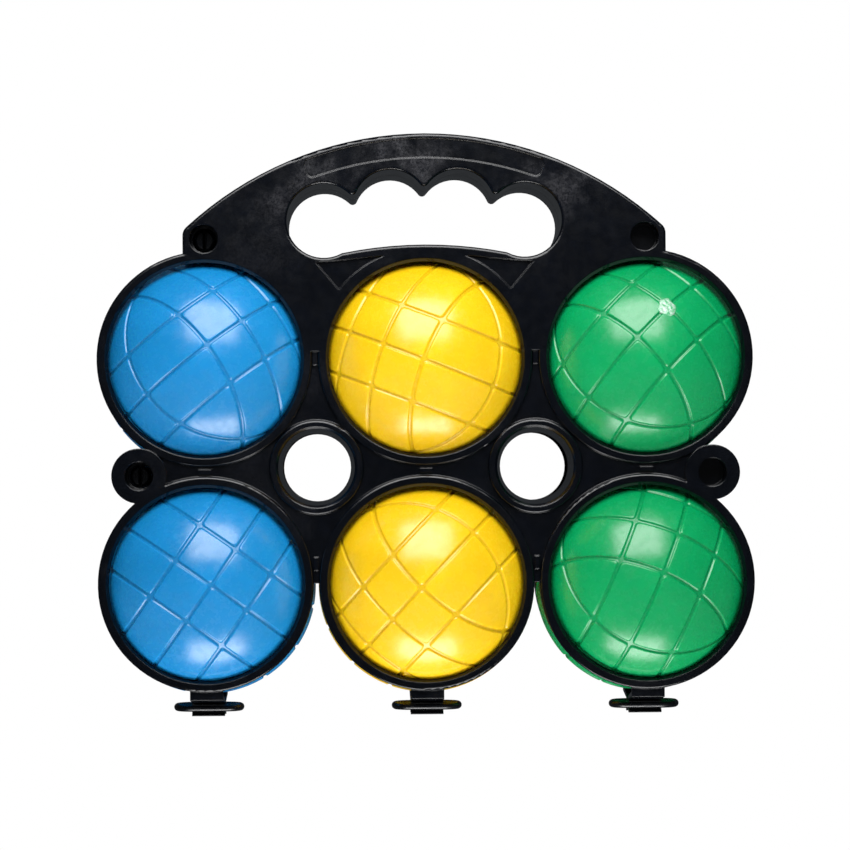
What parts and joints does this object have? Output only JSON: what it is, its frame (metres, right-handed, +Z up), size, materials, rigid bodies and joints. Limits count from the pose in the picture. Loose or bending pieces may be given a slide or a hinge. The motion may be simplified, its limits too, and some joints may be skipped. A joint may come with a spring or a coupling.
{
  "type": "bocce ball set",
  "caption": "Grooved plastic garden bocce balls clamped between the matching halves of a hinged carrier with a finger-shaped handle and jack ball seats.",
  "frame": {"origin": "centre of the bounding box at the ground, under the parting plane of the two frames, at the lowest point of the hinge hooks", "axes": "+Z up towards the handle, front frame towards -Y, +X to the right seen from the front"},
  "size_m": [0.227, 0.075, 0.2011],
  "materials": {
    "carrier": "satin injection-moulded plastic, scuffed",
    "hinge_wire": "satin moulded plastic",
    "ball_blue": "satin-gloss moulded plastic",
    "ball_yellow": "satin-gloss moulded plastic",
    "ball_green": "satin-gloss moulded plastic",
    "plug_blue": "sealing glue over a plug",
    "plug_yellow": "sealing glue over a plug",
    "plug_green": "sealing glue over a plug",
    "water": "water sealed inside the ball"
  },
  "bodies": {
    "back": {"back_frame": "carrier"},
    "links": {"hinge_link_left": "hinge_wire", "hinge_link_centre": "hinge_wire", "hinge_link_right": "hinge_wire"},
    "front": {"front_frame": "carrier"},
    "ball_blue_top": {"ball_blue_top": "ball_blue", "ball_blue_top_plug": "plug_blue", "ball_blue_top_fill": "water"},
    "ball_yellow_top": {"ball_yellow_top": "ball_yellow", "ball_yellow_top_plug": "plug_yellow", "ball_yellow_top_fill": "water"},
    "ball_green_top": {"ball_green_top": "ball_green", "ball_green_top_plug": "plug_green", "ball_green_top_fill": "water"},
    "ball_blue_bottom": {"ball_blue_bottom": "ball_blue", "ball_blue_bottom_plug": "plug_blue", "ball_blue_bottom_fill": "water"},
    "ball_yellow_bottom": {"ball_yellow_bottom": "ball_yellow", "ball_yellow_bottom_plug": "plug_yellow", "ball_yellow_bottom_fill": "water"},
    "ball_green_bottom": {"ball_green_bottom": "ball_green", "ball_green_bottom_plug": "plug_green", "ball_green_bottom_fill": "water"}
  },
  "joints": [
    {"name": "link_swing", "type": "hinge", "parent": "back", "child": "links", "pos_m": [0, 0.0055, 0.00295], "axis": [1, 0, 0], "range_deg": [0, 90]},
    {"name": "front_open", "type": "hinge", "parent": "links", "child": "front", "pos_m": [0, -0.0055, 0.00295], "axis": [1, 0, 0], "range_deg": [0, 90]},
    {"name": "ball_blue_top_out", "type": "slide", "parent": "back", "child": "ball_blue_top", "axis": [0, -1, 0], "range_m": [0, 0.079]},
    {"name": "ball_yellow_top_out", "type": "slide", "parent": "back", "child": "ball_yellow_top", "axis": [0, -1, 0], "range_m": [0, 0.079]},
    {"name": "ball_green_top_out", "type": "slide", "parent": "back", "child": "ball_green_top", "axis": [0, -1, 0], "range_m": [0, 0.079]},
    {"name": "ball_blue_bottom_out", "type": "slide", "parent": "back", "child": "ball_blue_bottom", "axis": [0, -1, 0], "range_m": [0, 0.079]},
    {"name": "ball_yellow_bottom_out", "type": "slide", "parent": "back", "child": "ball_yellow_bottom", "axis": [0, -1, 0], "range_m": [0, 0.079]},
    {"name": "ball_green_bottom_out", "type": "slide", "parent": "back", "child": "ball_green_bottom", "axis": [0, -1, 0], "range_m": [0, 0.079]}
  ],
  "couplings": [
    {"joint": "link_swing", "follows": "front_open", "ratio": 1},
    {"joint": "ball_blue_top_out", "follows": "front_open", "m_per_rad": 0.05},
    {"joint": "ball_yellow_top_out", "follows": "front_open", "m_per_rad": 0.05},
    {"joint": "ball_green_top_out", "follows": "front_open", "m_per_rad": 0.05},
    {"joint": "ball_blue_bottom_out", "follows": "front_open", "m_per_rad": 0.05},
    {"joint": "ball_yellow_bottom_out", "follows": "front_open", "m_per_rad": 0.05},
    {"joint": "ball_green_bottom_out", "follows": "front_open", "m_per_rad": 0.05}
  ]
}
